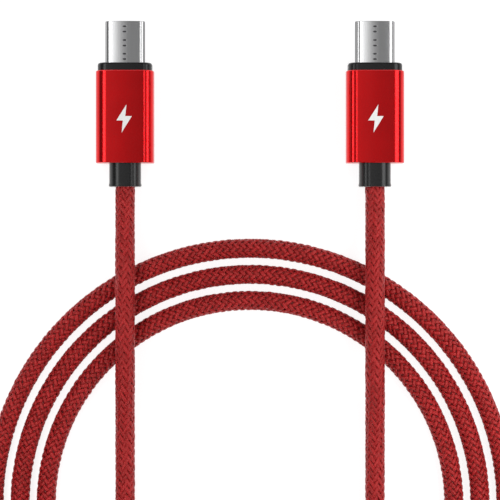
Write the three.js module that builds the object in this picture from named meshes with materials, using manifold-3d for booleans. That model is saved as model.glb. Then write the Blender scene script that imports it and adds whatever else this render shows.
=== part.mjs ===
// A braided charging cable, 1.2 m class: two identical reversible 24-pin plugs on one red cord,
// which lies as a flat coil of three turns with both ends running straight up over it.
// Millimetres, +Z up. The origin is on the surface that the cable lies on, midway between the
// plugs. Both plugs point along +Y.

import * as THREE from 'three';
import { mergeVertices } from 'three/addons/utils/BufferGeometryUtils.js';
import Module from 'manifold-3d';

const wasm = await Module();
wasm.setup();

// Where the plugs lie
const plugX = 26;
const axisZ = 3.2;

// Stations along a plug, as Y values
const shellTip = 17.15;
const insulatorFront = 16.55;
const collarFront = 8.4;
const housingFront = 6.75;
const insulatorRear = 5;
const shellRear = 4;
const boardRear = -4;
const canRear = -6.5;
const jacketFront = -7.4;
const mouldRear = -10.5;
const housingRear = -12.4;
const reliefRear = -17.3;

// Sections of a plug, as [width, height, corner radius]
const shellOuter = [8.25, 2.4, 1.2];
const shellWall = 0.25;
const shellInner = inset(shellOuter, shellWall);
const insulatorOuter = inset(shellInner, 0.05);
const housingOuter = [12.1, 6.4, 2.4];
const housingWall = 0.6;
const housingInner = inset(housingOuter, housingWall);
const mouldOuter = inset(housingInner, 0.1);
const canOuter = [9.2, 3.6, 0.8];
const canWall = 0.2;
const collarOuter = [11.3, 5.6, 2];
const reliefOuter = [6.6, 4.95, 2.2];
const reliefLip = [6.8, 5.1, 2.3];
const reliefFlange = [8.8, 5, 1.8];
const fitGap = 0.05;

// Contacts: two rows of twelve on a half-millimetre pitch
const contactCount = 12;
const contactPitch = 0.5;
const contactWidth = 0.25;
const contactThickness = 0.1;
const contactHeight = 0.4;

// The cord and its coil
const cordRadius = 2.05;
const cordSides = 10;
const cordStep = 6;
const coilY = -83.6;
const innerTurn = 42.6;
const outerTurn = 53.5;

// Finishes, one slot for each kind of surface
const finishes = {
  shellSteel: { color: 0xc9cbce, roughness: 0.25, metalness: 1 },
  springSteel: { color: 0xb4b4b0, roughness: 0.35, metalness: 1 },
  contactGold: { color: 0xd8b45a, roughness: 0.3, metalness: 1 },
  insulator: { color: 0x1b1b1d, roughness: 0.6, metalness: 0 },
  board: { color: 0x1f5a35, roughness: 0.5, metalness: 0 },
  canSteel: { color: 0xa8a9aa, roughness: 0.4, metalness: 1 },
  mould: { color: 0x2a2a2c, roughness: 0.7, metalness: 0 },
  collar: { color: 0x17181a, roughness: 0.35, metalness: 0 },
  aluminium: { color: 0xb01018, roughness: 0.3, metalness: 1 },
  relief: { color: 0x2c2c2e, roughness: 0.6, metalness: 0 },
  ferrule: { color: 0xb8954a, roughness: 0.4, metalness: 1 },
  jacket: { color: 0x3a3a3c, roughness: 0.7, metalness: 0 },
  braid: { color: 0xaa282d, roughness: 0.75, metalness: 0 },
  redWire: { color: 0xc02020, roughness: 0.5, metalness: 0 },
  blackWire: { color: 0x151515, roughness: 0.5, metalness: 0 },
  whiteWire: { color: 0xe8e8e4, roughness: 0.5, metalness: 0 },
  greenWire: { color: 0x2f8a45, roughness: 0.5, metalness: 0 },
  blueWire: { color: 0x2a4fa8, roughness: 0.5, metalness: 0 },
};

// The five conductors: where each leaves the jacket and where it lands on the board, as [x, z]
const wires = [
  { name: 'power_wire', finish: 'redWire', radius: 0.42, leaves: [-0.8, 0.4], lands: [-2.7, 0.85] },
  { name: 'ground_wire', finish: 'blackWire', radius: 0.42, leaves: [0.8, 0.4], lands: [2.7, 0.85] },
  { name: 'data_plus_wire', finish: 'greenWire', radius: 0.3, leaves: [-0.72, -0.75], lands: [-1.2, 0.7] },
  { name: 'data_minus_wire', finish: 'whiteWire', radius: 0.3, leaves: [0.72, -0.75], lands: [1.2, 0.7] },
  { name: 'control_wire', finish: 'blueWire', radius: 0.3, leaves: [0, -0.45], lands: [0, 0.7] },
];

// The cord's free stretches, each from its plug to the coil
const leftRoute = [
  [-26, -17.5, 3.2], [-26.03, -20, 3.25], [-25.99, -23.5, 3.7], [-25.92, -27.5, 4.7],
  [-25.84, -31.5, 5.8], [-25.79, -35.5, 6.4], [-25.78, -39.5, 6.5], [-25.78, -45, 6.5],
  [-25.78, -50, 6.5], [-25.81, -55, 6.1], [-25.89, -59, 5.1], [-25.99, -63, 3.7],
  [-26.07, -67, 2.6], [-26.11, -71.5, 2.1], [-26.12, -84, 2.05], [-26.12, -98, 2.05],
  [-24.9, -105.7, 2.05], [-21.8, -112.8, 2.05], [-18.8, -116.7, 2.05],
];
const rightRoute = [
  [26, -17.5, 3.2], [26.06, -20, 3.25], [26.02, -23.5, 3.7], [25.95, -27.5, 4.7],
  [25.87, -31.5, 5.8], [25.82, -35.5, 6.4], [25.81, -39.5, 6.5], [25.81, -45, 6.5],
  [25.81, -50, 6.5], [25.84, -55, 6.1], [25.92, -59, 5.1], [26.02, -63, 3.7], [26.1, -67, 2.6],
  [26.14, -71.5, 2.1], [26.15, -84, 2.05], [26.15, -93.3, 2.05], [25.2, -101.2, 2.05],
  [23.2, -107.5, 2.1], [20.6, -112.9, 2.8], [17.1, -117.7, 4.6], [12.9, -122, 6.1],
  [8.1, -125.5, 6.5], [-0.3, -129.4, 6.5], [-9.4, -131.2, 6.5], [-18.6, -130.7, 6.5],
  [-27.5, -128, 6.5], [-35.4, -123.2, 6.5],
];

// A section made smaller by the same amount all round
function inset([width, height, radius], by) {
  return [width - 2 * by, height - 2 * by, Math.max(radius - by, 0.1)];
}

// A rounded rectangle about the origin
function roundedShape([width, height, radius]) {
  const x = width / 2 - radius;
  const y = height / 2 - radius;
  const shape = new THREE.Shape();
  shape.absarc(x, y, radius, 0, Math.PI / 2);
  shape.absarc(-x, y, radius, Math.PI / 2, Math.PI);
  shape.absarc(-x, -y, radius, Math.PI, 1.5 * Math.PI);
  shape.absarc(x, -y, radius, 1.5 * Math.PI, 2 * Math.PI);
  return shape;
}

function polygonShape(points) {
  return new THREE.Shape(points.map(([x, y]) => new THREE.Vector2(x, y)));
}

// A section in X and Z, extruded along Y between two stations, with an optional edge chamfer
function alongPlug(shape, rear, front, chamfer = 0) {
  const geometry = new THREE.ExtrudeGeometry(shape, {
    depth: front - rear - 2 * chamfer,
    curveSegments: 4,
    bevelEnabled: chamfer > 0,
    bevelThickness: chamfer,
    bevelSize: chamfer,
    bevelOffset: -chamfer,
    bevelSegments: 1,
  });
  geometry.rotateX(Math.PI / 2);
  geometry.translate(0, front - chamfer, 0);
  return geometry;
}

// An outline in X and Y, extruded upwards between two heights
function upwards(shape, low, high) {
  const geometry = new THREE.ExtrudeGeometry(shape, {
    depth: high - low,
    curveSegments: 4,
    bevelEnabled: false,
  });
  geometry.translate(0, 0, low);
  return geometry;
}

// A profile in Y and Z, extruded across the plug's width
function acrossPlug(points, width) {
  const geometry = new THREE.ExtrudeGeometry(polygonShape(points), {
    depth: width,
    bevelEnabled: false,
  });
  geometry.rotateY(Math.PI / 2);
  geometry.rotateX(Math.PI / 2);
  geometry.translate(-width / 2, 0, 0);
  return geometry;
}

function block(x, y, z) {
  const geometry = new THREE.BoxGeometry(x[1] - x[0], y[1] - y[0], z[1] - z[0]);
  geometry.translate((x[0] + x[1]) / 2, (y[0] + y[1]) / 2, (z[0] + z[1]) / 2);
  return geometry;
}

// A solid turned about the plug's own axis, from [radius, station] pairs
function turned(profile, segments = 16) {
  const points = profile.map(([radius, y]) => new THREE.Vector2(radius, y));
  return new THREE.LatheGeometry(points, segments);
}

// Manifold only joins and cuts
function toSolid(geometry) {
  const bare = geometry.clone();
  bare.deleteAttribute('normal');
  bare.deleteAttribute('uv');
  const merged = mergeVertices(bare, 1e-4);
  const mesh = new wasm.Mesh({
    numProp: 3,
    vertProperties: new Float32Array(merged.attributes.position.array),
    triVerts: new Uint32Array(merged.index.array),
  });
  return new wasm.Manifold(mesh);
}

function toGeometry(solid) {
  const mesh = solid.getMesh();
  const geometry = new THREE.BufferGeometry();
  geometry.setAttribute('position', new THREE.BufferAttribute(mesh.vertProperties, 3));
  geometry.setIndex(new THREE.BufferAttribute(mesh.triVerts, 1));
  geometry.computeVertexNormals();
  return geometry;
}

function combine(base, { add = [], cut = [] }) {
  let solid = toSolid(base);
  for (const piece of add) {
    solid = solid.add(toSolid(piece));
  }
  for (const piece of cut) {
    solid = solid.subtract(toSolid(piece));
  }
  return toGeometry(solid);
}

function piece(name, finish, geometry) {
  const mesh = new THREE.Mesh(geometry, new THREE.MeshStandardMaterial(finishes[finish]));
  mesh.name = name;
  return mesh;
}

// Drawn steel tube that enters the socket. It steps in a little where the collar holds it.
function shell() {
  const tube = (outer, rear, front) => {
    const outline = roundedShape(outer);
    outline.holes.push(roundedShape(shellInner));
    return alongPlug(outline, rear, front);
  };
  const exposed = tube(shellOuter, collarFront + fitGap, shellTip);
  const held = tube(inset(shellOuter, fitGap), shellRear, collarFront + 2 * fitGap);
  return combine(exposed, { add: [held] });
}

// Moulded insulator inside the shell: a sleeve whose cavity takes the socket's tongue. Its sides
// are open where the latch arms swing, and its faces are relieved for the ground springs.
function contactInsulator() {
  const [width, height] = insulatorOuter;
  const body = alongPlug(roundedShape(insulatorOuter), insulatorRear, insulatorFront);
  const cavity = block([-3.4, 3.4], [insulatorRear - 1, insulatorFront + 1], [-0.55, 0.55]);
  const latchWay = block([-width, width], [insulatorRear - 1, 15.6], [-0.4, 0.4]);
  const recess = (side) => {
    const heights = [side * 0.7, side * height].sort((a, b) => a - b);
    return block([-2.9, 2.9], [12, 15.8], heights);
  };
  return combine(body, { cut: [cavity, latchWay, recess(1), recess(-1)] });
}

// A row of spring contacts. The front of each beam bows in to touch the tongue and the tails lie
// on the board. A thin strip in the carrier's middle holds the row in one piece.
function contactRow(side) {
  const near = side * contactHeight;
  const far = side * (contactHeight + contactThickness);
  const profile = [
    [2.6, near], [13.2, near], [14.3, near - side * 0.12], [15.2, near],
    [15.2, far], [14.3, far - side * 0.12], [13.2, far], [2.6, far],
  ];
  if (side < 0) {
    profile.reverse();
  }
  const width = (contactCount - 1) * contactPitch + contactWidth;
  const gaps = [];
  for (let i = 0; i < contactCount - 1; i += 1) {
    const left = -width / 2 + contactWidth + i * contactPitch;
    const right = left + contactPitch - contactWidth;
    gaps.push(block([left, right], [8.2, 16], [-1, 1]));
    gaps.push(block([left, right], [2, 7.4], [-1, 1]));
  }
  return combine(acrossPlug(profile, width), { cut: gaps });
}

// Moulded strip under each contact row
function contactCarrier(side) {
  const heights = [side * 0.1, side * 0.35].sort((a, b) => a - b);
  return block([-2.95, 2.95], [5.4, 10], heights);
}

// Stamped steel plate between the two rows
function midPlate() {
  const outline = polygonShape([[-3.1, 5.2], [3.1, 5.2], [3.1, 7], [2.6, 7.6], [2.6, 9.6],
    [-2.6, 9.6], [-2.6, 7.6], [-3.1, 7]]);
  return upwards(outline, -0.05, 0.05);
}

// Retention arm beside the cavity: a thin spring with a hook at its front
function latchArm(side) {
  const outline = [[3.42, 7.2], [3.6, 7.2], [3.6, 15.2], [3.45, 15.3], [3.18, 14.8], [3.18, 14.5],
    [3.42, 14.1]];
  const points = outline.map(([x, y]) => [side * x, y]);
  if (side < 0) {
    points.reverse();
  }
  return upwards(polygonShape(points), -0.25, 0.25);
}

// Thin sprung plate that grounds the socket's sleeve
function groundSpring(side) {
  const heights = [side * 0.73, side * 0.83].sort((a, b) => a - b);
  const plate = block([-2.8, 2.8], [12.2, 15.6], heights);
  const windows = [-1.8, 0, 1.8].map((x) => block([x - 0.5, x + 0.5], [13.2, 15], [-1, 1]));
  return combine(plate, { cut: windows });
}

// Circuit board that joins the contacts' tails to the wires
function paddleBoard() {
  const outline = polygonShape([[-3.4, boardRear], [3.4, boardRear], [3.7, boardRear + 0.3],
    [3.7, 4.6], [-3.7, 4.6], [-3.7, boardRear + 0.3]]);
  return upwards(outline, -0.35, 0.35);
}

// Half of the pressed steel can around the board
function shieldCan(side) {
  const outline = roundedShape(canOuter);
  outline.holes.push(roundedShape(inset(canOuter, canWall)));
  const tube = alongPlug(outline, canRear, 5.4);
  const heights = [side * -10, side * fitGap].sort((a, b) => a - b);
  return combine(tube, { cut: [block([-10, 10], [-20, 20], heights)] });
}

// Moulded core that holds the can, the board and the cord's end
function innerMould() {
  const body = alongPlug(roundedShape(mouldOuter), mouldRear, 5.45);
  const cavity = alongPlug(roundedShape(inset(canOuter, -0.1)), -7, 6);
  const bore = turned([[0, -12], [2.1, -12], [2.1, -6.8], [0, -6.8]]);
  return combine(body, { cut: [cavity, bore] });
}

// Black insert that closes the front of the housing around the shell
function frontCollar() {
  const flange = alongPlug(roundedShape(collarOuter), housingFront + fitGap, collarFront, 0.25);
  const spigot = alongPlug(roundedShape(inset(housingInner, 0.15)), 5.6, housingFront + 0.6);
  const hole = alongPlug(roundedShape(inset(shellOuter, -fitGap)), 4, 10);
  return combine(flange, { add: [spigot], cut: [hole] });
}

// Anodised aluminium sleeve, open at the front, with an end wall around the strain relief
function housing() {
  const body = alongPlug(roundedShape(housingOuter), housingRear, housingFront, 0.15);
  const hollow = alongPlug(roundedShape(housingInner), housingRear + 0.8, housingFront + 1);
  const hole = alongPlug(roundedShape(inset(reliefOuter, -fitGap)), housingRear - 1, housingRear + 2);
  return combine(body, { cut: [hollow, hole] });
}

// Flexible sleeve around the cord where it leaves, held by a flange inside the end wall
function strainRelief() {
  const body = alongPlug(roundedShape(reliefOuter), reliefRear + 0.2, housingRear + 1.1);
  const lip = alongPlug(roundedShape(reliefLip), reliefRear, reliefRear + 0.6, 0.1);
  const flange = alongPlug(roundedShape(reliefFlange), housingRear + 0.9, mouldRear - 0.1);
  const bore = turned([[0, -20], [2.15, -20], [2.15, -8], [0, -8]]);
  return combine(body, { add: [lip, flange], cut: [bore] });
}

// The cord's end inside the plug: braid as far as the ferrule, then the bare jacket
function cordEnd() {
  return turned([[0, reliefRear], [cordRadius, reliefRear], [cordRadius, mouldRear],
    [1.6, mouldRear], [1.6, jacketFront], [0, jacketFront]]);
}

function crimpFerrule() {
  return turned([[1.7, -10.2], [2, -10.2], [2, -8.2], [1.7, -8.2], [1.7, -10.2]]);
}

// A round bar along a curve
function tube(points, radius, sides, steps) {
  const curve = new THREE.CatmullRomCurve3(points.map((point) => new THREE.Vector3(...point)));
  const section = new THREE.Shape();
  for (let i = 0; i < sides; i += 1) {
    const angle = (2 * Math.PI * i) / sides;
    const corner = [radius * Math.cos(angle), radius * Math.sin(angle)];
    if (i === 0) {
      section.moveTo(...corner);
    } else {
      section.lineTo(...corner);
    }
  }
  const length = curve.getLength();
  return new THREE.ExtrudeGeometry(section, {
    steps: steps ?? Math.round(length / cordStep),
    extrudePath: curve,
  });
}

function wire({ radius, leaves, lands }) {
  const [x0, z0] = leaves;
  const [x1, z1] = lands;
  const points = [
    [x0, jacketFront + 0.1, z0], [x0, jacketFront + 0.8, z0],
    [0.4 * x0 + 0.6 * x1, -5.4, 0.3 * z0 + 0.7 * z1],
    [x1, boardRear - 0.4, z1], [x1, boardRear + 1.2, z1],
  ];
  return tube(points, radius, 6, 7);
}

// The closed shape that holds all the coil's turns: a flat ring with round edges
function coilRing() {
  const profile = [];
  const arcSteps = 4;
  for (const [centre, start] of [[outerTurn, -90], [innerTurn, 90]]) {
    for (let i = 0; i <= arcSteps; i += 1) {
      const angle = THREE.MathUtils.degToRad(start + (180 * i) / arcSteps);
      const radius = centre + cordRadius * Math.cos(angle);
      profile.push([radius, cordRadius + cordRadius * Math.sin(angle)]);
    }
  }
  profile.push(profile[0]);
  const geometry = turned(profile, 60);
  geometry.rotateX(Math.PI / 2);
  geometry.translate(0, coilY, 0);
  return geometry;
}

// One whole plug about its own axis, moved to its place
function plug(name, x) {
  const group = new THREE.Group();
  group.position.set(x, 0, axisZ);
  const outward = Math.sign(x);
  const add = (part, finish, geometry) => group.add(piece(`${name}_${part}`, finish, geometry));
  add('shell', 'shellSteel', shell());
  add('contact_insulator', 'insulator', contactInsulator());
  add('upper_contacts', 'contactGold', contactRow(1));
  add('lower_contacts', 'contactGold', contactRow(-1));
  add('upper_carrier', 'insulator', contactCarrier(1));
  add('lower_carrier', 'insulator', contactCarrier(-1));
  add('mid_plate', 'springSteel', midPlate());
  add('outer_latch_arm', 'springSteel', latchArm(outward));
  add('inner_latch_arm', 'springSteel', latchArm(-outward));
  add('upper_ground_spring', 'springSteel', groundSpring(1));
  add('lower_ground_spring', 'springSteel', groundSpring(-1));
  add('paddle_board', 'board', paddleBoard());
  add('upper_shield_can', 'canSteel', shieldCan(1));
  add('lower_shield_can', 'canSteel', shieldCan(-1));
  add('inner_mould', 'mould', innerMould());
  add('front_collar', 'collar', frontCollar());
  add('housing', 'aluminium', housing());
  add('strain_relief', 'relief', strainRelief());
  add('cord_end', 'jacket', cordEnd());
  add('crimp_ferrule', 'ferrule', crimpFerrule());
  for (const conductor of wires) {
    add(conductor.name, conductor.finish, wire(conductor));
  }
  return group;
}

const group = new THREE.Group();
group.add(plug('left', -plugX));
group.add(plug('right', plugX));
group.add(piece('cord_left_run', 'braid', tube(leftRoute, cordRadius, cordSides)));
group.add(piece('cord_right_run', 'braid', tube(rightRoute, cordRadius, cordSides)));
group.add(piece('cord_coil', 'braid', coilRing()));

export default group;
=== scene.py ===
# Charging cable: two reversible plugs in red anodised sleeves on one braided cord.
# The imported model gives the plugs' places; this file makes the cord, the finished shells and the
# materials around it. Everything is in metres, +Z up, and the plugs point along +Y.
import math

import bpy
import numpy as np
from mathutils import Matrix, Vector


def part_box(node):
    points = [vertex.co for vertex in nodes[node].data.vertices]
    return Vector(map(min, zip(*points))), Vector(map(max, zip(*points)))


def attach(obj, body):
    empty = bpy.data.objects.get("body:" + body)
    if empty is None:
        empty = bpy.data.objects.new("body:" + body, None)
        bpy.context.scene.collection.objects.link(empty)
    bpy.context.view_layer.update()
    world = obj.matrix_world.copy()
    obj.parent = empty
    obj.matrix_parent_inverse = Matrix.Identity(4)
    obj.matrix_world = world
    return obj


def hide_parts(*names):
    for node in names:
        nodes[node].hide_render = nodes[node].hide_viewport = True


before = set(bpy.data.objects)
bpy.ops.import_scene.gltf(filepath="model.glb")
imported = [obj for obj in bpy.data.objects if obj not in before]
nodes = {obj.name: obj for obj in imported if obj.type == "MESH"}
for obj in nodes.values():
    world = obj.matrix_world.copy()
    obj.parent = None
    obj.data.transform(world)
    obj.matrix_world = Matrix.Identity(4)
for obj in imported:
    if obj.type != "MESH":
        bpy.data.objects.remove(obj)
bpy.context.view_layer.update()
mm = 0.001
rng = np.random.default_rng(24)
print("frame loaded:", len(nodes), "nodes")


def toLinear(hexColour):
    # sRGB hex to the linear colour that shaders take
    channels = [int(hexColour[i:i + 2], 16) / 255 for i in (1, 3, 5)]
    linear = [c / 12.92 if c <= 0.04045 else ((c + 0.055) / 1.055) ** 2.4 for c in channels]
    return (*linear, 1.0)


def shaded(hexColour, share):
    return tuple(share * channel for channel in toLinear(hexColour)[:3]) + (1,)


def addNode(tree, kind, settings=None, links=None):
    # settings holds sockets' values, the node's own properties and a ramp's (place, colour) stops
    node = tree.nodes.new(kind)
    for key, value in (settings or {}).items():
        if key == "stops":
            elements = node.color_ramp.elements
            while len(elements) < len(value):
                elements.new(0.5)
            for element, (place, colour) in zip(elements, value):
                element.position = place
                element.color = colour
        elif isinstance(key, int) or key in node.inputs:
            node.inputs[key].default_value = value
        else:
            setattr(node, key, value)
    for key, source in (links or {}).items():
        tree.links.new(source, node.inputs[key])
    return node


def newMaterial(name, settings):
    material = bpy.data.materials.new(name)
    material.use_nodes = True
    tree = material.node_tree
    shader = tree.nodes["Principled BSDF"]
    for key, value in settings.items():
        shader.inputs[key].default_value = value
    return material, tree, shader


# a noise pattern rarely leaves this range, so the ramps that colour it start and end here
noiseLow, noiseHigh = 0.3, 0.7


def texturedSurface(tree, shader, pattern, lowRoughness, highRoughness, strength, depth):
    # a pattern that stands proud of the surface, and varies its shine
    shine = addNode(tree, "ShaderNodeMapRange", {"To Min": lowRoughness, "To Max": highRoughness},
                    {"Value": pattern})
    tree.links.new(shine.outputs[0], shader.inputs["Roughness"])
    bump = addNode(tree, "ShaderNodeBump", {"Strength": strength, "Distance": depth}, {"Height": pattern})
    tree.links.new(bump.outputs["Normal"], shader.inputs["Normal"])


def newObject(name, vertices, faces, material, smooth=True):
    mesh = bpy.data.meshes.new(name)
    mesh.from_pydata([tuple(v) for v in vertices], [], faces)
    mesh.materials.append(material)
    mesh.polygons.foreach_set("use_smooth", [smooth] * len(mesh.polygons))
    mesh.update()
    piece = bpy.data.objects.new(name, mesh)
    bpy.context.scene.collection.objects.link(piece)
    return piece


# straight above the plugs and the top of the coil
cameraSettings = {
    "centreY": -30.45 * mm,
    "focusZ": 3.2 * mm,
    "distance": 350 * mm,
    "frameWidth": 104.17 * mm,
    "sensorWidth": 36,          # in mm, the unit that the camera wants
    "clipStart": 10 * mm,
}


def makeCamera(settings):
    data = bpy.data.cameras.new("camera")
    data.sensor_width = settings["sensorWidth"]
    data.lens = settings["sensorWidth"] * settings["distance"] / settings["frameWidth"]
    data.clip_start = settings["clipStart"]
    camera = bpy.data.objects.new("camera", data)
    camera.location = (0, settings["centreY"], settings["focusZ"] + settings["distance"])
    bpy.context.scene.collection.objects.link(camera)
    bpy.context.scene.camera = camera


makeCamera(cameraSettings)
print("camera made")


cord = {
    "diameter": 4.1 * mm,
    "restZ": 2.05 * mm,
    "coilY": -83.6 * mm,
    "turnRadii": (42.6 * mm, 48.05 * mm, 53.5 * mm),
    "stepOutStart": 190,        # degrees where a turn starts to move out to the next
    "stepOutSweep": 72,
    "coilStart": 277.7,         # degrees, counted on through the turns
    "coilEnd": 1299.3,
    "pointsPerTurn": 32,
    "riseStart": 1270,          # the last turn climbs here, to cross over the others
    "riseSweep": 42,
    "riseHeight": 4.45 * mm,
    "sampleStep": 0.25 * mm,
    "intoRelief": 0.7 * mm,     # how far the cord goes on past its routes' first points
}

# each run's route from its plug to the coil, in metres
leftRoute = [
    (-0.026, -0.0175, 0.0032), (-0.02603, -0.02, 0.00325), (-0.02599, -0.0235, 0.0037),
    (-0.02592, -0.0275, 0.0047), (-0.02584, -0.0315, 0.0058), (-0.02579, -0.0355, 0.0064),
    (-0.02578, -0.0395, 0.0065), (-0.02578, -0.045, 0.0065), (-0.02578, -0.05, 0.0065),
    (-0.02581, -0.055, 0.0061), (-0.02589, -0.059, 0.0051), (-0.02599, -0.063, 0.0037),
    (-0.02607, -0.067, 0.0026), (-0.02611, -0.0715, 0.0021), (-0.02612, -0.084, 0.00205),
    (-0.02612, -0.098, 0.00205), (-0.0249, -0.1057, 0.00205), (-0.0218, -0.1128, 0.00205),
    (-0.0188, -0.1167, 0.00205),
]
joinRoute = [(-0.0103, -0.1232, 0.00205), (-0.0029, -0.1256, 0.00205)]
rightRoute = [
    (0.026, -0.0175, 0.0032), (0.02606, -0.02, 0.00325), (0.02602, -0.0235, 0.0037),
    (0.02595, -0.0275, 0.0047), (0.02587, -0.0315, 0.0058), (0.02582, -0.0355, 0.0064),
    (0.02581, -0.0395, 0.0065), (0.02581, -0.045, 0.0065), (0.02581, -0.05, 0.0065),
    (0.02584, -0.055, 0.0061), (0.02592, -0.059, 0.0051), (0.02602, -0.063, 0.0037),
    (0.0261, -0.067, 0.0026), (0.02614, -0.0715, 0.0021), (0.02615, -0.084, 0.00205),
    (0.02615, -0.0933, 0.00205), (0.0252, -0.1012, 0.00205), (0.0232, -0.1075, 0.0021),
    (0.0206, -0.1129, 0.0028), (0.0171, -0.1177, 0.0046), (0.0129, -0.122, 0.0061),
    (0.0081, -0.1255, 0.0065), (-0.0003, -0.1294, 0.0065), (-0.0094, -0.1312, 0.0065),
    (-0.0186, -0.1307, 0.0065), (-0.0275, -0.128, 0.0065), (-0.0354, -0.1232, 0.0065),
]


def easeStep(u):
    u = min(max(u, 0), 1)
    return u * u * (3 - 2 * u)


def coilPoints(settings):
    # three flat turns, each a cord's gap outside the last, then the climb over them
    inner, middle, outer = settings["turnRadii"]
    start, end = settings["coilStart"], settings["coilEnd"]
    count = round(settings["pointsPerTurn"] * (end - start) / 360)
    points = []
    for i in range(count + 1):
        angle = start + (end - start) * i / count
        firstStep = easeStep((angle - 360 - settings["stepOutStart"]) / settings["stepOutSweep"])
        secondStep = easeStep((angle - 720 - settings["stepOutStart"]) / settings["stepOutSweep"])
        radius = inner + (middle - inner) * firstStep + (outer - middle) * secondStep
        climb = min(max((angle - settings["riseStart"]) / settings["riseSweep"], 0), 1)
        z = settings["restZ"] + settings["riseHeight"] * (1 - math.cos(math.pi * climb)) / 2
        turn = math.radians(angle)
        points.append((radius * math.cos(turn), settings["coilY"] + radius * math.sin(turn), z))
    return points


def smoothPath(points, step):
    # a natural cubic spline through the points, sampled evenly
    points = np.array(points)
    gaps = np.linalg.norm(np.diff(points, axis=0), axis=1)
    knots = np.concatenate([[0], np.cumsum(gaps)])
    count = len(points)
    matrix = np.eye(count)
    right = np.zeros((count, 3))
    slopes = np.diff(points, axis=0) / gaps[:, None]
    for i in range(1, count - 1):
        matrix[i, i - 1:i + 2] = gaps[i - 1], 2 * (gaps[i - 1] + gaps[i]), gaps[i]
        right[i] = 6 * (slopes[i] - slopes[i - 1])
    bends = np.linalg.solve(matrix, right)
    places = np.linspace(0, knots[-1], round(knots[-1] / step) + 1)
    span = np.clip(np.searchsorted(knots, places, side="right") - 1, 0, count - 2)
    before = (places - knots[span])[:, None]
    after = (knots[span + 1] - places)[:, None]
    width = gaps[span][:, None]
    curve = (bends[span] * after ** 3 + bends[span + 1] * before ** 3) / (6 * width)
    curve += (points[span] / width - bends[span] * width / 6) * after
    curve += (points[span + 1] / width - bends[span + 1] * width / 6) * before
    curve[:, 2] = np.maximum(curve[:, 2], cord["restZ"])
    return curve


def reliefPoint(x, y, z):
    return x, y + cord["intoRelief"], z


routeStart = reliefPoint(*leftRoute[0])
routeEnd = reliefPoint(*rightRoute[0])
route = [routeStart, *leftRoute[1:], *joinRoute, *coilPoints(cord), *rightRoute[:0:-1], routeEnd]
path = smoothPath(route, cord["sampleStep"])
steps = np.linalg.norm(np.diff(path, axis=0), axis=1)
along = np.concatenate([[0], np.cumsum(steps)])
cordLength = float(along[-1])
tangents = np.gradient(path, along, axis=0)
tangents /= np.linalg.norm(tangents, axis=1)[:, None]
sideways = np.cross((0, 0, 1), tangents)
sideways /= np.linalg.norm(sideways, axis=1)[:, None]
upwards = np.cross(tangents, sideways)
print("cord route:", round(cordLength, 4), "m")


def onCord(place, angle, radius):
    # points at a distance along the cord, an angle around it and a radius from its middle
    centre = np.stack([np.interp(place, along, path[:, i]) for i in range(3)], -1)
    side = np.stack([np.interp(place, along, sideways[:, i]) for i in range(3)], -1)
    up = np.stack([np.interp(place, along, upwards[:, i]) for i in range(3)], -1)
    return centre + radius[..., None] * (np.cos(angle)[..., None] * side + np.sin(angle)[..., None] * up)


# Dyed multifilament nylon, lightly twisted and braided: satin yarns with silky streaks along
# them, brighter where they turn away, and with painted shade where they dive under their neighbours.
yarnFinish = {
    "low": "#931518",           # the darkest and the palest yarn
    "high": "#ac2124",
    "paintedShade": "#560b0f",          # painted shade at a yarn's buried ends and edges
    "endShadeSpan": (-0.06, 0.2),    # shares of a yarn's shown length
    "edgeShadeSpan": (0.0, 0.16),    # shares of its width
    "filaments": 8,             # real filaments are too fine to show, so a few are drawn coarse
    "wander": 1.1 * mm,         # size of the unevenness
    "streakDepth": 0.03 * mm,
    "streakStrength": 0.25,
}


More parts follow.
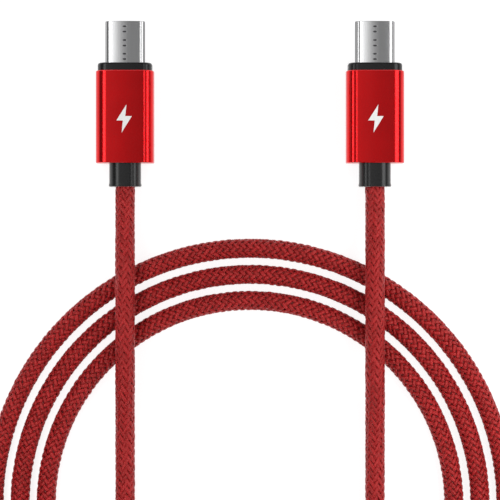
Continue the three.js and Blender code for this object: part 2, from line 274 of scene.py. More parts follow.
def makeNylonYarn(finish):
    material, tree, shader = newMaterial("braidedNylonYarn", {
        "Roughness": 0.32,
        "IOR": 1.53,
        "Sheen Weight": 0.8,
        "Sheen Roughness": 0.25,
        "Sheen Tint": toLinear("#ff6a62"),
        "Specular IOR Level": 0.6,
        "Specular Tint": toLinear("#ffaaa2"),
    })
    uv = addNode(tree, "ShaderNodeUVMap", {"uv_map": "yarn"})
    place = addNode(tree, "ShaderNodeSeparateXYZ", None, {"Vector": uv.outputs["UV"]})
    island = addNode(tree, "ShaderNodeNewGeometry")
    stops = [(0, toLinear(finish["low"])), (1, toLinear(finish["high"]))]
    tone = addNode(tree, "ShaderNodeValToRGB", {"stops": stops}, {0: island.outputs["Random Per Island"]})
    # the ping-pongs are 0 at a yarn's ends and edges and 0.5 along its middle
    ends = addNode(tree, "ShaderNodeMath", {"operation": "PINGPONG", 1: 0.5}, {0: place.outputs["X"]})
    fadeStart, fadeEnd = finish["endShadeSpan"]
    endShadeFade = addNode(tree, "ShaderNodeMapRange", {"From Min": fadeStart, "From Max": fadeEnd},
                       {"Value": ends.outputs[0]})
    edges = addNode(tree, "ShaderNodeMath", {"operation": "PINGPONG", 1: 0.5}, {0: place.outputs["Y"]})
    fadeStart, fadeEnd = finish["edgeShadeSpan"]
    edgeShadeFade = addNode(tree, "ShaderNodeMapRange", {"From Min": fadeStart, "From Max": fadeEnd},
                        {"Value": edges.outputs[0]})
    # painted shade: 1 along a yarn's middle and 0 at its ends and edges, where the colour turns to the
    # painted shade
    depth = addNode(tree, "ShaderNodeMath", {"operation": "MULTIPLY"},
                    {0: endShadeFade.outputs[0], 1: edgeShadeFade.outputs[0]})
    colour = addNode(tree, "ShaderNodeMix", {"data_type": "RGBA", 6: toLinear(finish["paintedShade"])},
                     {0: depth.outputs[0], 7: tone.outputs["Color"]})
    tree.links.new(colour.outputs[2], shader.inputs["Base Color"])
    lines = addNode(tree, "ShaderNodeMath", {"operation": "MULTIPLY", 1: finish["filaments"] * 2 * math.pi},
                    {0: place.outputs["Y"]})
    wave = addNode(tree, "ShaderNodeMath", {"operation": "SINE"}, {0: lines.outputs[0]})
    wander = addNode(tree, "ShaderNodeTexNoise", {"Scale": 1 / finish["wander"], "Detail": 3})
    streaks = addNode(tree, "ShaderNodeMath", {"operation": "ADD"},
                      {0: wave.outputs[0], 1: wander.outputs["Fac"]})
    bump = addNode(tree, "ShaderNodeBump",
                   {"Strength": finish["streakStrength"], "Distance": finish["streakDepth"]},
                   {"Height": streaks.outputs[0]})
    tree.links.new(bump.outputs["Normal"], shader.inputs["Normal"])
    return material


# Extruded PVC jacket under the braid: matt, and seen only as depth between the yarns.
jacketFinish = {"dark": "#4a0b0f", "light": "#5e1014", "cloud": 0.65 * mm, "roughness": 0.7}


def makeCordJacket(finish):
    material, tree, shader = newMaterial("extrudedPvcJacket", {"Roughness": finish["roughness"]})
    noise = addNode(tree, "ShaderNodeTexNoise", {"Scale": 1 / finish["cloud"], "Detail": 2})
    stops = [(noiseLow, toLinear(finish["dark"])), (noiseHigh, toLinear(finish["light"]))]
    colour = addNode(tree, "ShaderNodeValToRGB", {"stops": stops}, {0: noise.outputs["Fac"]})
    tree.links.new(colour.outputs["Color"], shader.inputs["Base Color"])
    return material


# Extruded 6063 aluminium, finely blasted, anodised and dyed: a deep red metal under a clear
# oxide layer, which gives the highlights their paler core.
anodisedFinish = {
    "red": "#e20f15",
    "shade": "#da0d13",
    "cloud": 7 * mm,            # slow change in the dye's depth
    "cloudRange": (0.35, 0.65),
    "grain": 0.06 * mm,         # the blasted surface
    "roughness": (0.2, 0.26),
    "grainDepth": 0.01 * mm,
    "grainStrength": 0.06,
}


def makeAnodisedAluminium(finish):
    material, tree, shader = newMaterial("anodisedAluminium", {
        "Metallic": 1.0,
        "Coat Weight": 0.3,
        "Coat IOR": 1.6,
        "Coat Roughness": 0.08,
    })
    coords = addNode(tree, "ShaderNodeTexCoord")
    cloud = addNode(tree, "ShaderNodeTexNoise", {"Scale": 1 / finish["cloud"], "Detail": 2},
                    {"Vector": coords.outputs["Object"]})
    low, high = finish["cloudRange"]
    stops = [(low, toLinear(finish["shade"])), (high, toLinear(finish["red"]))]
    colour = addNode(tree, "ShaderNodeValToRGB", {"stops": stops}, {0: cloud.outputs["Fac"]})
    tree.links.new(colour.outputs["Color"], shader.inputs["Base Color"])
    grain = addNode(tree, "ShaderNodeTexNoise", {"Scale": 1 / finish["grain"], "Detail": 2},
                    {"Vector": coords.outputs["Object"]})
    texturedSurface(tree, shader, grain.outputs["Fac"], *finish["roughness"], finish["grainStrength"],
                    finish["grainDepth"])
    return material


# Metals of the plugs' small parts: each is a bright sheet or wire with faint lines along the way
# it was drawn. streak is the width of a line in mm. sides is a painted dark reflection: the shell's
# rounded sides and its mouth, which look sideways, are coloured darker than its two flats.
metalFinishes = {
    "drawnStainlessSteel": {"colour": "#dcdcdd", "roughness": 0.13, "streak": 0.12, "sides": "#5a5a5d"},
    "heatTintedWeld": {"colour": "#4a494b", "roughness": 0.45, "streak": 0.06},
    "stampedSpringSteel": {"colour": "#b9b8b4", "roughness": 0.3, "streak": 0.08},
    "pressedTinplate": {"colour": "#a9aaab", "roughness": 0.38, "streak": 0.1},
    "goldPlatedContact": {"colour": "#e0b85c", "roughness": 0.22, "streak": 0.06},
    "crimpedBrass": {"colour": "#b8954a", "roughness": 0.35, "streak": 0.1},
}
metalLines = {
    "stretch": 40,              # a line's length, in widths
    "darkShare": 0.94,          # how much of the colour the darkest line keeps
    "roughnessSpread": 0.15,
    "strength": 0.04,
    "depth": 0.005 * mm,
    "darkReflectionLevels": (0.4, 0.88),  # how far a face looks up or down: painted dark reflection below, own colour above
}


def makeMetal(name):
    finish = metalFinishes[name]
    material, tree, shader = newMaterial(name, {"Metallic": 1.0})
    across = 1 / (finish["streak"] * mm)
    coords = addNode(tree, "ShaderNodeTexCoord")
    stretch = addNode(tree, "ShaderNodeMapping", {"Scale": (across, across / metalLines["stretch"], across)},
                      {"Vector": coords.outputs["Object"]})
    lines = addNode(tree, "ShaderNodeTexNoise", {"Scale": 1.0, "Detail": 2}, {"Vector": stretch.outputs[0]})
    darkLine = shaded(finish["colour"], metalLines["darkShare"])
    stops = [(noiseLow, darkLine), (noiseHigh, toLinear(finish["colour"]))]
    tint = addNode(tree, "ShaderNodeValToRGB", {"stops": stops}, {0: lines.outputs["Fac"]})
    colour = tint.outputs["Color"]
    # painted dark reflection: faces that look sideways take the darker sides colour
    if "sides" in finish:
        surface = addNode(tree, "ShaderNodeNewGeometry")
        facing = addNode(tree, "ShaderNodeSeparateXYZ", None, {"Vector": surface.outputs["Normal"]})
        level = addNode(tree, "ShaderNodeMath", {"operation": "ABSOLUTE"}, {0: facing.outputs["Z"]})
        fullDarkLevel, ownColourLevel = metalLines["darkReflectionLevels"]
        share = addNode(tree, "ShaderNodeMapRange", {"From Min": fullDarkLevel, "From Max": ownColourLevel},
                        {"Value": level.outputs[0]})
        mixed = addNode(tree, "ShaderNodeMix", {"data_type": "RGBA", 6: toLinear(finish["sides"])},
                        {0: share.outputs[0], 7: colour})
        colour = mixed.outputs[2]
    tree.links.new(colour, shader.inputs["Base Color"])
    low = finish["roughness"] * (1 - metalLines["roughnessSpread"])
    high = finish["roughness"] * (1 + metalLines["roughnessSpread"])
    texturedSurface(tree, shader, lines.outputs["Fac"], low, high, metalLines["strength"],
                    metalLines["depth"])
    return material


# Moulded plastics: the tool's spark texture breaks up the shine. grain is that texture's size in
# mm and relief how strongly it shows; sheen is the pale bloom of a soft-touch surface.
plasticFinishes = {
    "liquidCrystalPolymer": {"colour": "#202022", "roughness": 0.5, "grain": 0.08, "relief": 0.3},
    "satinAbs": {"colour": "#070708", "roughness": 0.26, "grain": 0.07, "relief": 0.08, "shine": 0.45,
                 "sheen": 0.5},
    "softTouchElastomer": {"colour": "#050506", "roughness": 0.27, "grain": 0.09, "relief": 0.1,
                           "shine": 0.55, "sheen": 0.7},
    "lowPressureMould": {"colour": "#2b2b2d", "roughness": 0.65, "grain": 0.12, "relief": 0.3},
    "solderMask": {"colour": "#1f5a35", "roughness": 0.4, "grain": 0.1, "relief": 0.15, "coat": 0.3},
    "whitePadPrint": {"colour": "#f4f4f2", "roughness": 0.5, "grain": 0.05, "relief": 0.1},
    "powerWirePvc": {"colour": "#c02020", "roughness": 0.45, "grain": 0.1, "relief": 0.1},
    "groundWirePvc": {"colour": "#181818", "roughness": 0.45, "grain": 0.1, "relief": 0.1},
    "dataPlusWirePvc": {"colour": "#2f8a45", "roughness": 0.45, "grain": 0.1, "relief": 0.1},
    "dataMinusWirePvc": {"colour": "#e8e8e4", "roughness": 0.45, "grain": 0.1, "relief": 0.1},
    "controlWirePvc": {"colour": "#2a4fa8", "roughness": 0.45, "grain": 0.1, "relief": 0.1},
}
plasticTexture = {"darkShare": 0.88, "roughnessSpread": 0.05, "depth": 0.02 * mm, "sheenRoughness": 0.3}


def makePlastic(name):
    finish = plasticFinishes[name]
    material, tree, shader = newMaterial(name, {
        "IOR": 1.5,
        "Specular IOR Level": finish.get("shine", 0.5),
        "Coat Weight": finish.get("coat", 0.0),
        "Sheen Weight": finish.get("sheen", 0.0),
        "Sheen Roughness": plasticTexture["sheenRoughness"],
    })
    coords = addNode(tree, "ShaderNodeTexCoord")
    texture = addNode(tree, "ShaderNodeTexNoise", {"Scale": 1 / (finish["grain"] * mm), "Detail": 3},
                      {"Vector": coords.outputs["Object"]})
    darkGrain = shaded(finish["colour"], plasticTexture["darkShare"])
    stops = [(noiseLow, darkGrain), (noiseHigh, toLinear(finish["colour"]))]
    tint = addNode(tree, "ShaderNodeValToRGB", {"stops": stops}, {0: texture.outputs["Fac"]})
    tree.links.new(tint.outputs["Color"], shader.inputs["Base Color"])
    spread = plasticTexture["roughnessSpread"]
    low = finish["roughness"] - spread
    high = finish["roughness"] + spread
    texturedSurface(tree, shader, texture.outputs["Fac"], low, high, finish["relief"],
                    plasticTexture["depth"])
    return material


nylonYarn = makeNylonYarn(yarnFinish)
cordJacket = makeCordJacket(jacketFinish)
anodised = makeAnodisedAluminium(anodisedFinish)
metals = {name: makeMetal(name) for name in metalFinishes}
plastics = {name: makePlastic(name) for name in plasticFinishes}
print("materials made")


# an extruded jacket under a braid of 24 carriers
braid = {
    "carriers": 24,
    "coilPitch": 1.4 * mm,      # between neighbouring yarns, measured along the cord
    "straightPitch": 1.6 * mm,  # the braid is drawn out where the cord runs straight
    "drawnUntil": 60 * mm,      # from either plug
    "settledFrom": 95 * mm,
    "coilLean": 52,             # degrees between a yarn and the cord
    "straightLean": 33,
    "coilLength": 1.55,         # of a yarn's shown stretch, in widths of a column
    "straightLength": 1.85,
    "coilWidth": 0.92,          # of a yarn, in gaps between neighbours
    "straightWidth": 1.13,
    "coilEdge": 1.7 * mm,       # how far out the yarn's sides and middle lie
    "straightEdge": 1.9 * mm,
    "crownRadius": 2.07 * mm,
    "buriedRadius": 1.62 * mm,
    "dipStart": 0.35,           # share of a yarn's half length where it starts to dive
    "dipPower": 1.5,
    "buriedCrown": 0.3,         # how much of its rounded top is left where it is buried
    "waist": 0.12,              # how much narrower its ends are
    "twistEvery": 240 * mm,     # the whole braid turns once in this length
    "unevenLean": 0.03,         # spreads of the yarns' lean, place and height
    "unevenPlace": 0.02,
    "unevenHeight": 0.02 * mm,
    "alongSteps": (-1, -0.64, -0.22, 0.22, 0.64, 1),
    "acrossSteps": (-1, -0.45, 0.45, 1),
    "jacketRadius": 1.66 * mm,
    "jacketSides": 12,
    "jacketStep": 6,            # in path samples
    "leftRunEndX": -2 * mm,     # the left run's braid ends here, below the coil's middle
    "turnShares": (1, 1, 0.86),  # of each turn that its own braid covers
}


def makeJacket(settings):
    rings = list(range(0, len(path), settings["jacketStep"]))
    if rings[-1] != len(path) - 1:
        rings.append(len(path) - 1)
    sides = settings["jacketSides"]
    angles = np.arange(sides) * 2 * math.pi / sides
    place = np.repeat(along[rings], sides)
    angle = np.tile(angles, len(rings))
    vertices = onCord(place, angle, np.full(len(place), settings["jacketRadius"]))
    faces = []
    for i in range(len(rings) - 1):
        for j in range(sides):
            k = (j + 1) % sides
            faces.append((i * sides + j, i * sides + k, (i + 1) * sides + k, (i + 1) * sides + j))
    faces.append(tuple(range(sides))[::-1])
    last = (len(rings) - 1) * sides
    faces.append(tuple(range(last, last + sides)))
    return newObject("cord_jacket", vertices, faces, cordJacket), rings


def drawnShare(place):
    # 1 where the braid is drawn out straight, near either plug, and 0 in the coil
    fromEnd = np.minimum(place, cordLength - place)
    share = (braid["settledFrom"] - fromEnd) / (braid["settledFrom"] - braid["drawnUntil"])
    return np.clip(share, 0, 1)


pitchAlong = braid["coilPitch"] + (braid["straightPitch"] - braid["coilPitch"]) * drawnShare(along)
rowsAlong = np.concatenate([[0], np.cumsum(steps / pitchAlong[1:])])


def makeBraid(name, start, end, settings):
    # Every yarn shows as a row of floats, each over two crossings and then under two. Floats in
    # neighbouring columns lean opposite ways, half a pitch apart, which makes the herringbone.
    columns = settings["carriers"] // 2
    bodyRadius = cord["diameter"] / 2
    columnWidth = 2 * math.pi * bodyRadius / columns
    firstRow = math.ceil(np.interp(start, along, rowsAlong)) if start > 0 else -1
    lastRow = math.ceil(np.interp(end, along, rowsAlong)) + (1 if end == cordLength else 0)
    column, row = [grid.ravel() for grid in
                   np.meshgrid(np.arange(columns), np.arange(firstRow, lastRow), indexing="ij")]
    row = row + 0.5 * (column % 2)
    count = len(row)
    # the first and last rows start just past the cord's ends, inside the strain reliefs
    past = np.minimum(row, 0) + np.maximum(row - rowsAlong[-1], 0)
    centre = np.interp(row, rowsAlong, along) + past * settings["straightPitch"]
    share = drawnShare(centre)
    pitch = settings["coilPitch"] + (settings["straightPitch"] - settings["coilPitch"]) * share
    lean = np.radians(settings["coilLean"] + (settings["straightLean"] - settings["coilLean"]) * share)
    lean = lean + rng.normal(0, settings["unevenLean"], count)
    sign = np.where(column % 2 == 0, 1.0, -1.0)
    centre = centre + rng.normal(0, settings["unevenPlace"], count) * pitch
    lift = rng.normal(0, settings["unevenHeight"], count)
    length = settings["coilLength"] + (settings["straightLength"] - settings["coilLength"]) * share
    halfLength = length * columnWidth / np.sin(lean) / 2
    width = settings["coilWidth"] + (settings["straightWidth"] - settings["coilWidth"]) * share
    halfWidth = width * pitch * np.sin(lean) / 2
    edge = (settings["coilEdge"] + (settings["straightEdge"] - settings["coilEdge"]) * share)[:, None]
    middle = 2 * math.pi * (column / columns + centre / settings["twistEvery"])
    stepsAlong = settings["alongSteps"]
    stepsAcross = settings["acrossSteps"]
    aGrid, bGrid = [grid.ravel() for grid in np.meshgrid(stepsAlong, stepsAcross, indexing="ij")]
    forward = halfLength[:, None] * aGrid
    across = halfWidth[:, None] * bGrid * (1 - settings["waist"] * aGrid ** 2)
    cosine = np.cos(lean)[:, None]
    sine = np.sin(lean)[:, None]
    place = centre[:, None] + forward * cosine - sign[:, None] * across * sine
    angle = middle[:, None] + (sign[:, None] * forward * sine + across * cosine) / bodyRadius
    crown = edge + (settings["crownRadius"] - edge) * np.sqrt(1 - bGrid ** 2)
    dip = np.clip((np.abs(aGrid) - settings["dipStart"]) / (1 - settings["dipStart"]), 0, 1)
    dip = dip ** settings["dipPower"]
    buried = settings["buriedRadius"] + settings["buriedCrown"] * (crown - edge)
    radius = crown * (1 - dip) + buried * dip + lift[:, None]
    place = np.clip(place, 0, cordLength)
    vertices = onCord(place, angle, radius).reshape(-1, 3)
    # the yarns flatten a little where they lie on the table
    vertices[:, 2] = np.maximum(vertices[:, 2], 0)
    rows = len(stepsAlong)
    wide = len(stepsAcross)
    size = rows * wide
    top = [(i * wide + j, i * wide + j + 1, (i + 1) * wide + j + 1, (i + 1) * wide + j)
           for i in range(rows - 1) for j in range(wide - 1)]
    # one flat face closes the yarn underneath
    rim = list(range(wide)) + [i * wide + wide - 1 for i in range(1, rows)]
    rim += [size - 1 - j for j in range(1, wide)]
    rim += [i * wide for i in range(rows - 2, 0, -1)]
    loops = [corner for face in top for corner in face] + rim[::-1]
    totals = [4] * len(top) + [len(rim)]
    allLoops = (np.array(loops)[None, :] + size * np.arange(count)[:, None]).ravel()
    allTotals = np.tile(totals, count)
    mesh = bpy.data.meshes.new(name)
    mesh.vertices.add(len(vertices))
    mesh.vertices.foreach_set("co", vertices.astype(np.float32).ravel())
    mesh.loops.add(len(allLoops))
    mesh.loops.foreach_set("vertex_index", allLoops.astype(np.int32))
    mesh.polygons.add(len(allTotals))
    loopStarts = np.concatenate([[0], np.cumsum(allTotals)[:-1]])
    mesh.polygons.foreach_set("loop_start", loopStarts.astype(np.int32))
    mesh.polygons.foreach_set("use_smooth", np.tile([True] * len(top) + [False], count))
    uv = mesh.uv_layers.new(name="yarn")
    spots = np.stack([(aGrid + 1) / 2, (bGrid + 1) / 2], -1)
    uv.data.foreach_set("uv", spots[allLoops % size].astype(np.float32).ravel())
    mesh.update(calc_edges=True)
    mesh.validate()
    mesh.materials.append(nylonYarn)
    piece = bpy.data.objects.new(name, mesh)
    bpy.context.scene.collection.objects.link(piece)
    return piece


def braidCuts(settings):
    # the braid is made in five pieces: the left run, the three turns, and the right run
    startsCoil = (path[:, 1] < cord["coilY"]) & (path[:, 0] > settings["leftRunEndX"])
    cuts = [0.0, float(along[np.argmax(startsCoil)])]
    for radius, share in zip(cord["turnRadii"], settings["turnShares"]):
        cuts.append(cuts[-1] + share * 2 * math.pi * radius)
    return [*cuts, cordLength]


jacket, jacketRings = makeJacket(braid)
braidNames = ["braid_left_run", "braid_inner_turn", "braid_middle_turn", "braid_outer_turn",
              "braid_right_run"]
cuts = braidCuts(braid)
braidPieces = [makeBraid(name, start, end, braid) for name, start, end in zip(braidNames, cuts, cuts[1:])]
for piece in [jacket, *braidPieces]:
    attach(piece, "cable")
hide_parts("cord_left_run", "cord_right_run", "cord_coil")
print("cord made:", sum(len(piece.data.polygons) for piece in braidPieces), "yarn faces")


cornerSteps = 14
leastCorner = 0.02 * mm
sharpAngle = 38                 # degrees between faces, above which an edge stays sharp


def cornerArc(flat, corner, crown):
    # the height of a corner's arc and its last angle, where it runs smoothly into a crowned flat
    if crown == 0:
        return corner, math.pi / 2
    bend = crown / flat ** 2
    low, high = math.pi / 4, math.pi / 2
    for trial in range(30):
        turn = (low + high) / 2
        x = flat + corner * math.cos(turn)
        height = (corner - bend * x ** 2) / math.sin(turn)
        if height / (corner * math.tan(turn)) > 2 * bend * x:
            low = turn
        else:
            high = turn
    return height, turn


def sectionRing(section, inset, y, centre, spots, crown, dents):
    # a rounded rectangle across the plug; spots are the points across each flat
    width, height, radius = section
    halfX = width / 2 - inset
    halfZ = height / 2 - inset
    corner = max(radius - inset, leastCorner)
    flat = halfX - corner
    arcHeight, lastTurn = cornerArc(flat, corner, crown)
    ring = []
    for quarter, (sideX, sideZ) in enumerate([(1, 1), (-1, 1), (-1, -1), (1, -1)]):
        for i in range(cornerSteps + 1):
            turn = quarter * math.pi / 2 + lastTurn * i / cornerSteps
            if quarter in (1, 3):
                turn += math.pi / 2 - lastTurn
            ring.append((centre[0] + sideX * flat + corner * math.cos(turn), y,
                         centre[2] + sideZ * (halfZ - corner) + arcHeight * math.sin(turn)))
        if quarter in (0, 2):
            for spot in spots:
                x = spot * sideX
                drop = crown * (x / flat) ** 2
                # a dent is an oval with a flat floor over half its area
                for dentY, dentHalfX, dentHalfY, depth in dents:
                    fall = 1 - (x / dentHalfX) ** 2 - ((y - dentY) / dentHalfY) ** 2
                    drop += depth * min(max(2 * fall, 0), 1)
                ring.append((centre[0] + x, y, centre[2] + sideZ * (halfZ - drop)))
    return ring


def holeRing(section, clearance, y, centre, crown=0.0, spots=()):
    # the edge of a hole around a piece of the given section
    width, height, radius = section
    wider = (width + 2 * clearance, height + 2 * clearance, radius + clearance)
    return sectionRing(wider, 0, y, centre, spots, crown, ())


def makeSleeve(name, section, profile, centre, material, crown=0.0, spots=(), dents=(), hole=()):
    # the profile is a closed loop of (inset, y) pairs, swept around the section; hole holds the
    # rings of another section that come after them
    rings = [sectionRing(section, inset, y, centre, spots, crown, dents if inset == 0 else ())
             for inset, y in profile]
    rings += hole
    size = len(rings[0])
    vertices = [point for ring in rings for point in ring]
    faces = []
    for i in range(len(rings)):
        k = (i + 1) % len(rings)
        for j in range(size):
            m = (j + 1) % size
            faces.append((i * size + j, i * size + m, k * size + m, k * size + j))
    piece = newObject(name, vertices, faces, material)
    piece.data.set_sharp_from_angle(angle=math.radians(sharpAngle))
    weighted = piece.modifiers.new("weightedNormal", "WEIGHTED_NORMAL")
    weighted.keep_sharp = True
    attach(piece, "cable")
    return piece


def roundedEdge(inset, y, radius, fromAngle, toAngle, count=5):
    # an arc of (inset, y) pairs about a centre
    arc = []
    for i in range(count + 1):
        turn = math.radians(fromAngle + (toAngle - fromAngle) * i / count)
        arc.append((inset - radius * math.cos(turn), y + radius * math.sin(turn)))
    return arc


# Every section is a width, a height and a corner radius.
# a drawn tube with a rolled mouth and faintly crowned flats
shellShape = {
    "section": (8.25 * mm, 2.4 * mm, 1.2 * mm),
    "crown": 0.17 * mm,
    "wall": 0.25 * mm,
    "lip": 0.12 * mm,           # radius of the mouth's two rolled edges
    "straightFrom": 3,          # lips behind the tip, where the walls are straight again
    "weldsFromTip": (1.15 * mm, 2.25 * mm, 4.0 * mm, 5.15 * mm, 6.85 * mm, 7.95 * mm),
    "weldHalfSize": (0.44 * mm, 0.18 * mm),
    "weldDepth": 0.025 * mm,
    "weldStations": (-1.3, -1, -0.75, -0.4, 0, 0.4, 0.75, 1, 1.3),      # in half sizes, along the shell
    "weldReach": 0.95,          # how much of a dent's oval is tinted
    "halfSpots": (2.86, 2.5, 2.1, 1.7, 1.3, 0.9, 0.6, 0.48, 0.4, 0.31, 0.2, 0.1),   # mm across a flat
}


def makeShell(name, centre):
    low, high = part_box(name + "_shell")
    tip, back = high.y, low.y
    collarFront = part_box(name + "_front_collar")[1].y
    wall, lip = shellShape["wall"], shellShape["lip"]
    halfSpots = [x * mm for x in shellShape["halfSpots"]]
    spots = [*halfSpots, 0, *[-x for x in halfSpots[::-1]]]
    welds = [(tip - away, *shellShape["weldHalfSize"], shellShape["weldDepth"])
             for away in shellShape["weldsFromTip"]]
    weldHalfY = shellShape["weldHalfSize"][1]
    stations = [tip - away + share * weldHalfY for away in shellShape["weldsFromTip"][::-1]
                for share in shellShape["weldStations"]]
    straight = tip - shellShape["straightFrom"] * lip
    profile = [(0, back), (0, collarFront), *[(0, y) for y in stations], (0, straight)]
    profile += roundedEdge(lip, tip - lip, lip, 0, 90)
    profile += roundedEdge(wall - lip, tip - lip, lip, 90, 180)
    profile += [(wall, straight), (wall, back)]
    shell = makeSleeve(name + "_plug_shell", shellShape["section"], profile, centre,
                       metals["drawnStainlessSteel"], crown=shellShape["crown"], spots=spots, dents=welds)
    tintWelds(shell, centre, welds)
    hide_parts(name + "_shell")


def tintWelds(shell, centre, welds):
    # the spot welds that hold the ground springs show as small darker ovals on both faces
    shell.data.materials.append(metals["heatTintedWeld"])
    insideWall = (shellShape["section"][1] - shellShape["wall"]) / 2
    for face in shell.data.polygons:
        x, y, z = face.center
        for weldY, halfX, halfY, depth in welds:
            away = ((x - centre[0]) / halfX) ** 2 + ((y - weldY) / halfY) ** 2
            if away < shellShape["weldReach"] and abs(z - centre[2]) > insideWall:
                face.material_index = 1


# a moulded insert with a soft front edge, close around the shell and just clear of the housing
collarShape = {"section": (11.3 * mm, 5.6 * mm, 2.0 * mm), "frontRadius": 0.45 * mm, "gap": 0.05 * mm,
               "shellClearance": 0.04 * mm, "leadIn": 0.15 * mm,
               "spots": (2 * mm, 1 * mm, 0, -1 * mm, -2 * mm)}


def makeCollar(name, centre, mouth):
    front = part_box(name + "_front_collar")[1].y
    seat = mouth + collarShape["gap"]
    radius = collarShape["frontRadius"]
    profile = [(0, seat), (0, front - radius)]
    profile += roundedEdge(radius, front - radius, radius, 0, 90)
    fit, leadIn = collarShape["shellClearance"], collarShape["leadIn"]
    spots = collarShape["spots"]
    hole = [holeRing(shellShape["section"], clearance, y, centre, shellShape["crown"], spots)
            for clearance, y in ((fit + leadIn, front), (fit, front - leadIn), (fit, seat))]
    collar = makeSleeve(name + "_collar", collarShape["section"], profile, centre, plastics["satinAbs"],
                        spots=spots, hole=hole)
    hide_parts(name + "_front_collar")


# a soft sleeve that swells to a small bead at its end
reliefShape = {
    "section": (6.6 * mm, 5.0 * mm, 2.3 * mm),
    "bead": 0.2 * mm,
    "swelling": ((4, 0), (3, 0.25), (2, 0.5)),      # (before the end, outwards), in beads
    "bore": 2.2 * mm,
    "intoHousing": 0.5 * mm,
}


def makeRelief(name, centre, rear):
    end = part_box(name + "_strain_relief")[0].y
    inner = rear + reliefShape["intoHousing"]
    bead, bore = reliefShape["bead"], reliefShape["bore"]
    boreSection = (2 * bore, 2 * bore, bore)
    profile = [(0, inner)]
    profile += [(-outwards * bead, end + before * bead) for before, outwards in reliefShape["swelling"]]
    profile += roundedEdge(bead / 2, end + bead, bead, 0, -90)
    hole = [holeRing(boreSection, 0, y, centre) for y in (end, inner)]
    relief = makeSleeve(name + "_relief_sleeve", reliefShape["section"], profile, centre,
                        plastics["softTouchElastomer"], hole=hole)
    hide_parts(name + "_strain_relief")


# an extruded sleeve, cut to length and chamfered at both ends, with an end wall around the relief
housingShape = {"section": (12.1 * mm, 6.4 * mm, 2.4 * mm), "chamfer": 0.14 * mm, "wall": 0.6 * mm,
                "endWall": 0.8 * mm, "reliefClearance": 0.04 * mm}


def makeHousing(name, centre, rear, mouth):
    chamfer, wall = housingShape["chamfer"], housingShape["wall"]
    inner = rear + housingShape["endWall"]
    profile = [(chamfer, rear), (0, rear + chamfer), (0, rear + 2 * chamfer)]
    profile += [(0, mouth - 2 * chamfer), (0, mouth - chamfer), (chamfer, mouth)]
    profile += [(wall, mouth), (wall, inner)]
    hole = [holeRing(reliefShape["section"], housingShape["reliefClearance"], y, centre)
            for y in (inner, rear)]
    housing = makeSleeve(name + "_housing_sleeve", housingShape["section"], profile, centre, anodised,
                         hole=hole)
    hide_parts(name + "_housing")


# a plain bolt, printed in the middle of the upper face
markShape = {
    "centreY": -3.3 * mm,
    "thickness": 0.05 * mm,
    "proud": 0.012 * mm,
    "outline": [(0.5, 2.9), (-1.6, -0.4), (-0.25, -0.4), (-0.5, -2.9), (1.6, 0.5), (0.25, 0.5)],    # mm
}


def makeMark(name, centre, top):
    outline = [(centre[0] + x * mm, markShape["centreY"] + y * mm) for x, y in markShape["outline"]]
    count = len(outline)
    high = top + markShape["proud"]
    vertices = [(x, y, high) for x, y in outline]
    vertices += [(x, y, high - markShape["thickness"]) for x, y in outline]
    faces = [tuple(range(count)), tuple(range(2 * count - 1, count - 1, -1))]
    faces += [(i, i + count, (i + 1) % count + count, (i + 1) % count) for i in range(count)]
    mark = newObject(name + "_mark", vertices, faces, plastics["whitePadPrint"], smooth=False)
    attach(mark, "cable")


for name in ("left", "right"):
    low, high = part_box(name + "_housing")
    centre = ((low.x + high.x) / 2, 0, (low.z + high.z) / 2)
    makeShell(name, centre)
    makeCollar(name, centre, high.y)
    makeHousing(name, centre, low.y, high.y)
    makeMark(name, centre, high.z)
    makeRelief(name, centre, low.y)
print("plugs made")

# finishes of the modelled pieces that keep their own shape
nodeFinishes = {
    "contact_insulator": plastics["liquidCrystalPolymer"],
    "upper_carrier": plastics["liquidCrystalPolymer"],
    "lower_carrier": plastics["liquidCrystalPolymer"],
    "upper_contacts": metals["goldPlatedContact"],
    "lower_contacts": metals["goldPlatedContact"],
    "mid_plate": metals["stampedSpringSteel"],
    "outer_latch_arm": metals["stampedSpringSteel"],
    "inner_latch_arm": metals["stampedSpringSteel"],
    "upper_ground_spring": metals["stampedSpringSteel"],
    "lower_ground_spring": metals["stampedSpringSteel"],
    "paddle_board": plastics["solderMask"],
    "upper_shield_can": metals["pressedTinplate"],
    "lower_shield_can": metals["pressedTinplate"],
    "inner_mould": plastics["lowPressureMould"],
    "crimp_ferrule": metals["crimpedBrass"],
    "cord_end": cordJacket,
    "front_collar": plastics["satinAbs"],
    "housing": anodised,
    "strain_relief": plastics["softTouchElastomer"],
    "shell": metals["drawnStainlessSteel"],
    "power_wire": plastics["powerWirePvc"],
    "ground_wire": plastics["groundWirePvc"],
    "data_plus_wire": plastics["dataPlusWirePvc"],
    "data_minus_wire": plastics["dataMinusWirePvc"],
    "control_wire": plastics["controlWirePvc"],
}


def setFinish(nodeName, material):
    nodes[nodeName].data.materials.clear()
    nodes[nodeName].data.materials.append(material)


for name in ("left", "right"):
    for part, material in nodeFinishes.items():
        setFinish(f"{name}_{part}", material)
for cordNode in ("cord_left_run", "cord_right_run", "cord_coil"):
    setFinish(cordNode, nylonYarn)
print("inner pieces finished")


floorShape = {"halfSize": 3, "below": 0.05 * mm, "grey": "#8c8c8c", "roughness": 0.9, "glow": 0.86}


def makeFloor(settings):
    # pale paper sweep, lit evenly enough to read as white
    material = newMaterial("whitePaperSweep", {
        "Base Color": toLinear(settings["grey"]),
        "Roughness": settings["roughness"],
        "Emission Color": (1, 1, 1, 1),
        "Emission Strength": settings["glow"],
    })[0]
    half = settings["halfSize"]
    corners = [(-half, -half, 0), (half, -half, 0), (half, half, 0), (-half, half, 0)]
    floor = newObject("floor", corners, [(0, 1, 2, 3)], material)
    floor.location.z = -settings["below"]


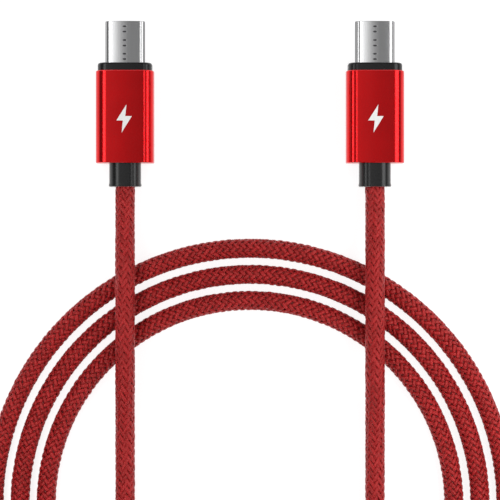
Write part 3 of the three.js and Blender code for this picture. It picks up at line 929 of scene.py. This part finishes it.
# Softboxes hang level above the plugs. Two of them fade out in strips, which draws the slow
# change from bright to dark across the steel.
lightRig = {
    "height": 85 * mm,
    "back": -180 * mm,
    "front": 90 * mm,
    "radiance": 2.5,
    "boxes": {"left": (-94 * mm, -56 * mm), "middle": (1 * mm, 9 * mm), "right": (60 * mm, 150 * mm)},
    "fades": {"left": (-56 * mm, -28 * mm), "middle": (9 * mm, 36.4 * mm)},
    "fadeRadiances": (1.1, 0.75, 0.42, 0.2, 0.08),
}


def addSoftbox(name, left, right, radiance):
    # a rectangle of light facing down, unseen by the camera
    data = bpy.data.lights.new(name, "AREA")
    data.shape = "RECTANGLE"
    data.size = right - left
    data.size_y = lightRig["front"] - lightRig["back"]
    data.energy = radiance * math.pi * data.size * data.size_y
    light = bpy.data.objects.new(name, data)
    light.location = ((left + right) / 2, (lightRig["front"] + lightRig["back"]) / 2, lightRig["height"])
    light.visible_camera = False
    bpy.context.scene.collection.objects.link(light)


def makeLights():
    for name, (left, right) in lightRig["boxes"].items():
        addSoftbox(name + "Softbox", left, right, lightRig["radiance"])
    for name, (left, right) in lightRig["fades"].items():
        width = (right - left) / len(lightRig["fadeRadiances"])
        for i, radiance in enumerate(lightRig["fadeRadiances"]):
            addSoftbox(f"{name}Fade{i + 1}", left + i * width, left + (i + 1) * width, radiance)


# grey levels of the studio around, from the horizon at 0 to overhead at 1
roomLevels = [(0.0, 0.8), (0.12, 0.7), (0.26, 0.13), (0.6, 0.14), (1.0, 0.265)]


def makeRoom():
    world = bpy.data.worlds.new("studioRoom")
    world.use_nodes = True
    tree = world.node_tree
    direction = addNode(tree, "ShaderNodeTexCoord")
    upward = addNode(tree, "ShaderNodeSeparateXYZ", None, {"Vector": direction.outputs["Generated"]})
    stops = [(place, (level, level, level, 1)) for place, level in roomLevels]
    sky = addNode(tree, "ShaderNodeValToRGB", {"stops": stops}, {0: upward.outputs["Z"]})
    tree.links.new(sky.outputs["Color"], tree.nodes["Background"].inputs["Color"])
    bpy.context.scene.world = world


makeFloor(floorShape)
makeLights()
makeRoom()
bpy.context.scene.view_settings.view_transform = "Standard"
print("stage made")
